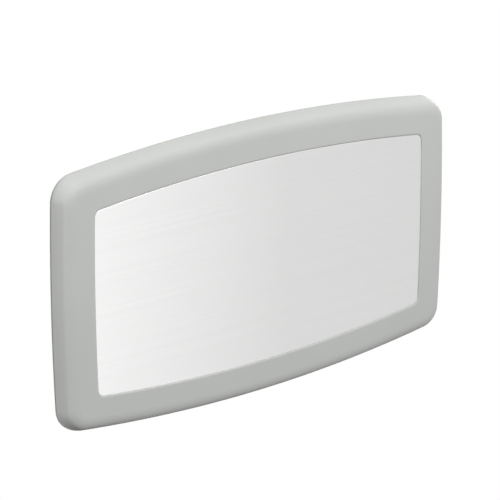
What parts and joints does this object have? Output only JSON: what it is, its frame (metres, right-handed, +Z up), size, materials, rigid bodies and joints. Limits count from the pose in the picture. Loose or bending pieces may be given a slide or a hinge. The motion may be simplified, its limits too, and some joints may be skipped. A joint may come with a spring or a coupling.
{
  "type": "baby changing station",
  "caption": "Wall-hung horizontal baby changing station with a bowed, rounded fold-down bed, a brushed steel front panel and a dished tray with a safety strap.",
  "frame": {"origin": "middle of the flat back face that meets the wall", "axes": "+X to the right along the width, +Y into the wall, +Z up; the front faces -Y"},
  "size_m": [0.895, 0.102, 0.508],
  "materials": {
    "shell_plastic": "fine grained moulded plastic",
    "inner_plastic": "fine grained moulded plastic",
    "brushed_steel": "horizontal brushed grain",
    "zinc_steel": "zinc plated sheet",
    "dark_steel": "satin black paint",
    "bright_steel": "bright plated",
    "rubber": "matte",
    "acetal": "smooth",
    "webbing": "woven webbing",
    "black_plastic": "satin"
  },
  "bodies": {
    "wall_unit": {"closing_bumper_left": "rubber", "closing_bumper_right": "rubber", "gas_spring_bracket": "zinc_steel", "gas_spring_upper_pin": "bright_steel", "hinge_rod": "bright_steel", "hinge_rod_cap_left": "black_plastic", "hinge_rod_cap_right": "black_plastic", "hinge_wall_leaf": "zinc_steel", "mount_plate_left": "zinc_steel", "mount_plate_right": "zinc_steel", "open_stop_left": "rubber", "open_stop_right": "rubber", "wall_box": "inner_plastic", "wall_leaf_screw_1": "bright_steel", "wall_leaf_screw_2": "bright_steel", "wall_leaf_screw_3": "bright_steel", "wall_leaf_screw_4": "bright_steel"},
    "liner_door": {"liner_door": "shell_plastic"},
    "liner_lock": {"liner_lock": "bright_steel"},
    "gas_cylinder": {"gas_cylinder": "dark_steel", "gas_cylinder_eye": "dark_steel"},
    "gas_rod": {"gas_piston_rod": "bright_steel", "gas_rod_eye": "dark_steel"},
    "bed": {"bed_shell": "shell_plastic", "front_panel": "brushed_steel", "bed_tray": "inner_plastic", "hinge_bed_leaf": "zinc_steel", "hinge_crank": "zinc_steel", "crank_pin": "bright_steel", "bag_hook_left": "shell_plastic", "bag_hook_right": "shell_plastic", "strap_bezel_upper": "black_plastic", "strap_bezel_lower": "black_plastic", "strap_upper": "webbing", "strap_lower": "webbing", "buckle_frame": "black_plastic", "buckle_pin": "bright_steel", "bed_leaf_screw_1": "bright_steel", "bed_leaf_screw_2": "bright_steel", "bed_leaf_screw_3": "bright_steel", "bed_leaf_screw_4": "bright_steel", "hinge_bush_1": "acetal", "hinge_bush_2": "acetal", "hinge_bush_3": "acetal", "hinge_bush_4": "acetal", "tray_screw_1": "bright_steel", "tray_screw_2": "bright_steel", "tray_screw_3": "bright_steel", "tray_screw_4": "bright_steel", "tray_screw_5": "bright_steel", "tray_screw_6": "bright_steel"},
    "buckle_lever": {"buckle_lever": "black_plastic"}
  },
  "joints": [
    {"name": "bed_hinge", "type": "hinge", "parent": "wall_unit", "child": "bed", "pos_m": [0, -0.058, -0.209], "axis": [1, 0, 0], "range_deg": [0, 90], "stiffness_Nm_per_rad": 2, "springref_deg": -114.59},
    {"name": "gas_cylinder_swing", "type": "hinge", "parent": "wall_unit", "child": "gas_cylinder", "pos_m": [0.364, -0.024, 0.06], "axis": [1, 0, 0], "range_deg": [-15, 1]},
    {"name": "gas_rod_swing", "type": "hinge", "parent": "bed", "child": "gas_rod", "pos_m": [0.364, -0.02583, -0.182], "axis": [1, 0, 0], "range_deg": [-105, 1]},
    {"name": "liner_door_tilt", "type": "hinge", "parent": "wall_unit", "child": "liner_door", "pos_m": [0, -0.0205, -0.057], "axis": [1, 0, 0], "range_deg": [0, 20]},
    {"name": "liner_lock_turn", "type": "hinge", "parent": "liner_door", "child": "liner_lock", "pos_m": [0, -0.024, 0.044], "axis": [0, 1, 0], "range_deg": [0, 90]},
    {"name": "buckle_lever_lift", "type": "hinge", "parent": "bed", "child": "buckle_lever", "pos_m": [0, -0.0758, 0.019], "axis": [1, 0, 0], "range_deg": [0, 45], "stiffness_Nm_per_rad": 0.05, "springref_deg": -17.19}
  ],
  "couplings": [
    {"joint": "gas_cylinder_swing", "follows": "bed_hinge", "ratio": -0.1585},
    {"joint": "gas_rod_swing", "follows": "bed_hinge", "ratio": -1.1585}
  ]
}
